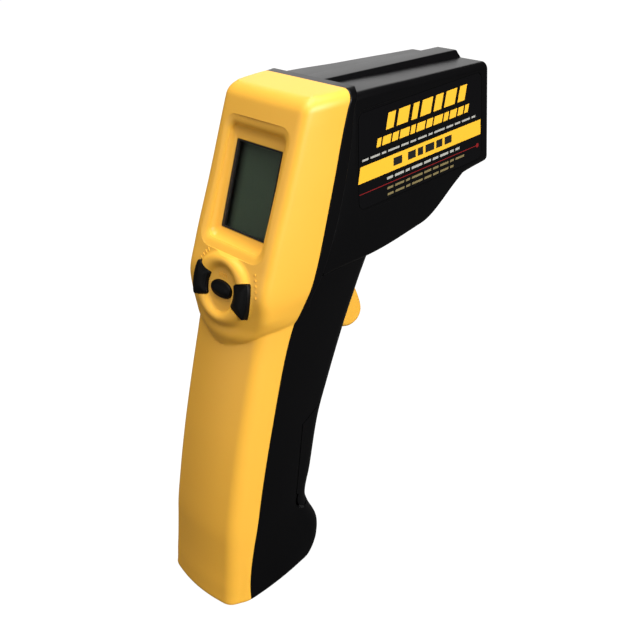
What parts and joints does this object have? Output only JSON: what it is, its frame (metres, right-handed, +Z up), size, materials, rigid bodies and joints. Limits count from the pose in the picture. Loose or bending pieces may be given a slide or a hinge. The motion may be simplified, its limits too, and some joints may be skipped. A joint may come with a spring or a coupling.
{
  "type": "infrared thermometer",
  "caption": "Pistol-grip infrared thermometer with display, key ring, laser pointer, swinging trigger and hinged battery door.",
  "frame": {"origin": "centre of the tripod socket's mouth, in the plane of the base", "axes": "+Z up out of the base, +Y along the barrel the way the sensor looks, +X to the right seen from the display"},
  "size_m": [0.0548, 0.1605, 0.2],
  "materials": {
    "rear_cover": "satin yellow",
    "body_right": "satin black",
    "body_left": "satin black",
    "nose_bezel": "satin black",
    "battery_door": "satin black",
    "hinge_pin_right": "satin",
    "hinge_pin_left": "satin",
    "battery_tray": "matt black",
    "battery": "satin",
    "battery_snap": "matt",
    "battery_lead_plus": "satin",
    "battery_lead_minus": "satin",
    "trigger": "satin yellow",
    "trigger_pin": "satin",
    "trigger_spring": "satin",
    "trigger_switch": "matt",
    "display_window": "clear",
    "lcd_panel": "matt",
    "lcd_frame": "white",
    "contact_strip_top": "matt",
    "contact_strip_bottom": "matt",
    "main_board": "solder mask",
    "processor_chip": "matt",
    "buzzer": "matt",
    "key_left": "semi-gloss",
    "key_right": "semi-gloss",
    "key_centre": "semi-gloss",
    "key_mat": "matt",
    "lens_tube": "matt",
    "ir_lens": "frosted",
    "lens_retainer": "matt",
    "thermopile": "satin",
    "sensor_board": "solder mask",
    "sensor_ribbon": "satin",
    "laser_module": "satin",
    "laser_window": "clear",
    "laser_lead": "satin",
    "tripod_insert": "knurled",
    "screw_nose": "satin",
    "screw_head": "satin",
    "screw_grip": "satin",
    "screw_foot": "satin",
    "board_screw_1": "satin",
    "board_screw_2": "satin",
    "board_screw_3": "satin",
    "board_screw_4": "satin",
    "label_right": "printed film",
    "label_left": "printed film"
  },
  "bodies": {
    "housing": {"rear_cover": "rear_cover", "body_right": "body_right", "body_left": "body_left", "nose_bezel": "nose_bezel", "hinge_pin_right": "hinge_pin_right", "hinge_pin_left": "hinge_pin_left", "battery_tray": "battery_tray", "battery": "battery", "battery_snap": "battery_snap", "battery_lead_plus": "battery_lead_plus", "battery_lead_minus": "battery_lead_minus", "trigger_pin": "trigger_pin", "trigger_spring": "trigger_spring", "trigger_switch": "trigger_switch", "display_window": "display_window", "lcd_panel": "lcd_panel", "lcd_frame": "lcd_frame", "contact_strip_top": "contact_strip_top", "contact_strip_bottom": "contact_strip_bottom", "main_board": "main_board", "processor_chip": "processor_chip", "buzzer": "buzzer", "key_mat": "key_mat", "lens_tube": "lens_tube", "ir_lens": "ir_lens", "lens_retainer": "lens_retainer", "thermopile": "thermopile", "sensor_board": "sensor_board", "sensor_ribbon": "sensor_ribbon", "laser_module": "laser_module", "laser_window": "laser_window", "laser_lead": "laser_lead", "tripod_insert": "tripod_insert", "screw_nose": "screw_nose", "screw_head": "screw_head", "screw_grip": "screw_grip", "screw_foot": "screw_foot", "board_screw_1": "board_screw_1", "board_screw_2": "board_screw_2", "board_screw_3": "board_screw_3", "board_screw_4": "board_screw_4", "label_right": "label_right", "label_left": "label_left"},
    "right_key": {"key_right": "key_right"},
    "left_key": {"key_left": "key_left"},
    "centre_key": {"key_centre": "key_centre"},
    "trigger_lever": {"trigger": "trigger"},
    "door": {"battery_door": "battery_door"}
  },
  "joints": [
    {"name": "trigger_swing", "type": "hinge", "parent": "housing", "child": "trigger_lever", "pos_m": [0, 0.05, 0.126], "axis": [-1, 0, 0], "range_deg": [0, 8], "stiffness_Nm_per_rad": 0.9, "springref_deg": -8.59, "deforming": ["trigger_spring"]},
    {"name": "right_key_press", "type": "slide", "parent": "housing", "child": "right_key", "axis": [0, 0.9563, -0.2924], "range_m": [0, 0.0008], "stiffness_N_per_m": 600},
    {"name": "left_key_press", "type": "slide", "parent": "housing", "child": "left_key", "axis": [0, 0.9563, -0.2924], "range_m": [0, 0.0008], "stiffness_N_per_m": 600},
    {"name": "centre_key_press", "type": "slide", "parent": "housing", "child": "centre_key", "axis": [0, 0.9563, -0.2924], "range_m": [0, 0.0008], "stiffness_N_per_m": 600},
    {"name": "battery_door_hinge", "type": "hinge", "parent": "housing", "child": "door", "pos_m": [0, 0.0215, 0.033], "axis": [-1, 0, 0], "range_deg": [0, 48]}
  ]
}
